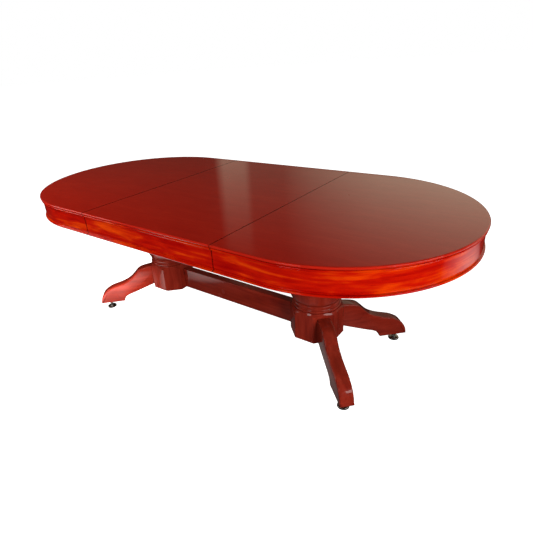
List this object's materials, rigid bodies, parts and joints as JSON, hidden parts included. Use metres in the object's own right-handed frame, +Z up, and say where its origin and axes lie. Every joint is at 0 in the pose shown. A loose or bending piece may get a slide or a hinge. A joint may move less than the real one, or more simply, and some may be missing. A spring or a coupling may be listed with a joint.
{
  "type": "gaming table",
  "caption": "Racetrack gaming table: a padded playing well under a lift-off dining cover, on turned pedestals with a stretcher, scroll legs and levelling feet",
  "frame": {"origin": "floor level at the centre of the table's plan", "axes": "+X along the table's long direction, +Z up, the front long side at -Y"},
  "size_m": [2.342, 1.132, 0.762],
  "materials": {
    "top_mahogany": "high-gloss red-brown mahogany lacquer",
    "band_mahogany": "high-gloss deep red mahogany lacquer",
    "dark_mahogany": "gloss dark mahogany lacquer",
    "plywood": "plain sanded plywood and softwood",
    "vinyl": "padded dark brown vinyl",
    "cloth": "green foam-backed playing cloth",
    "steel": "zinc-plated steel",
    "glide_metal": "satin nickel-plated steel"
  },
  "bodies": {
    "table_frame": {"base_plate_left": "dark_mahogany", "base_plate_right": "dark_mahogany", "bearer_back": "plywood", "bearer_front": "plywood", "block_left": "dark_mahogany", "block_right": "dark_mahogany", "cross_rail_left": "plywood", "cross_rail_right": "plywood", "deck_board": "plywood", "foot_insert_back_left": "steel", "foot_insert_back_right": "steel", "foot_insert_front_left": "steel", "foot_insert_front_right": "steel", "leg_back_left": "dark_mahogany", "leg_back_right": "dark_mahogany", "leg_bolt_back_left_lower": "steel", "leg_bolt_back_left_upper": "steel", "leg_bolt_back_right_lower": "steel", "leg_bolt_back_right_upper": "steel", "leg_bolt_front_left_lower": "steel", "leg_bolt_front_left_upper": "steel", "leg_bolt_front_right_lower": "steel", "leg_bolt_front_right_upper": "steel", "leg_front_left": "dark_mahogany", "leg_front_right": "dark_mahogany", "padded_rail": "vinyl", "playing_cloth": "cloth", "rail_board": "plywood", "stretcher": "dark_mahogany", "stretcher_bolt_left_lower": "steel", "stretcher_bolt_left_upper": "steel", "stretcher_bolt_right_lower": "steel", "stretcher_bolt_right_upper": "steel", "tie_bolt_left": "steel", "tie_bolt_right": "steel", "tie_nut_left": "steel", "tie_nut_right": "steel", "top_plate_left": "dark_mahogany", "top_plate_right": "dark_mahogany", "urn_left": "dark_mahogany", "urn_right": "dark_mahogany"},
    "cover_left": {"base_bead_left": "band_mahogany", "cover_panel_left": "top_mahogany", "skirt_left": "band_mahogany"},
    "cover_right": {"base_bead_right": "band_mahogany", "cover_panel_right": "top_mahogany", "skirt_right": "band_mahogany"},
    "cover_centre": {"base_bead_centre_back": "band_mahogany", "base_bead_centre_front": "band_mahogany", "cover_panel_centre": "top_mahogany", "skirt_centre_back": "band_mahogany", "skirt_centre_front": "band_mahogany"},
    "glide_front_left": {"foot_base_front_left": "glide_metal"},
    "stem_front_left": {"foot_stem_front_left": "steel"},
    "glide_back_left": {"foot_base_back_left": "glide_metal"},
    "stem_back_left": {"foot_stem_back_left": "steel"},
    "glide_front_right": {"foot_base_front_right": "glide_metal"},
    "stem_front_right": {"foot_stem_front_right": "steel"},
    "glide_back_right": {"foot_base_back_right": "glide_metal"},
    "stem_back_right": {"foot_stem_back_right": "steel"}
  },
  "joints": [
    {"name": "cover_left_lift", "type": "slide", "parent": "table_frame", "child": "cover_left", "axis": [0, 0, 1], "range_m": [0, 0.25]},
    {"name": "cover_centre_lift", "type": "slide", "parent": "table_frame", "child": "cover_centre", "axis": [0, 0, 1], "range_m": [0, 0.25]},
    {"name": "cover_right_lift", "type": "slide", "parent": "table_frame", "child": "cover_right", "axis": [0, 0, 1], "range_m": [0, 0.25]},
    {"name": "glide_front_left_height", "type": "slide", "parent": "table_frame", "child": "glide_front_left", "axis": [0, 0, 1], "range_m": [-0.01, 0.01]},
    {"name": "stem_front_left_turn", "type": "hinge", "parent": "glide_front_left", "child": "stem_front_left", "pos_m": [-0.78979, -0.28779, 0.03], "axis": [0, 0, 1], "range_deg": [-2401, 2401]},
    {"name": "glide_back_left_height", "type": "slide", "parent": "table_frame", "child": "glide_back_left", "axis": [0, 0, 1], "range_m": [-0.01, 0.01]},
    {"name": "stem_back_left_turn", "type": "hinge", "parent": "glide_back_left", "child": "stem_back_left", "pos_m": [-0.78979, 0.28779, 0.03], "axis": [0, 0, 1], "range_deg": [-2401, 2401]},
    {"name": "glide_front_right_height", "type": "slide", "parent": "table_frame", "child": "glide_front_right", "axis": [0, 0, 1], "range_m": [-0.01, 0.01]},
    {"name": "stem_front_right_turn", "type": "hinge", "parent": "glide_front_right", "child": "stem_front_right", "pos_m": [0.78979, -0.28779, 0.03], "axis": [0, 0, 1], "range_deg": [-2401, 2401]},
    {"name": "glide_back_right_height", "type": "slide", "parent": "table_frame", "child": "glide_back_right", "axis": [0, 0, 1], "range_m": [-0.01, 0.01]},
    {"name": "stem_back_right_turn", "type": "hinge", "parent": "glide_back_right", "child": "stem_back_right", "pos_m": [0.78979, 0.28779, 0.03], "axis": [0, 0, 1], "range_deg": [-2401, 2401]}
  ],
  "couplings": [
    {"joint": "stem_front_left_turn", "follows": "glide_front_left_height", "rad_per_m": 4188.8},
    {"joint": "stem_back_left_turn", "follows": "glide_back_left_height", "rad_per_m": 4188.8},
    {"joint": "stem_front_right_turn", "follows": "glide_front_right_height", "rad_per_m": 4188.8},
    {"joint": "stem_back_right_turn", "follows": "glide_back_right_height", "rad_per_m": 4188.8}
  ]
}
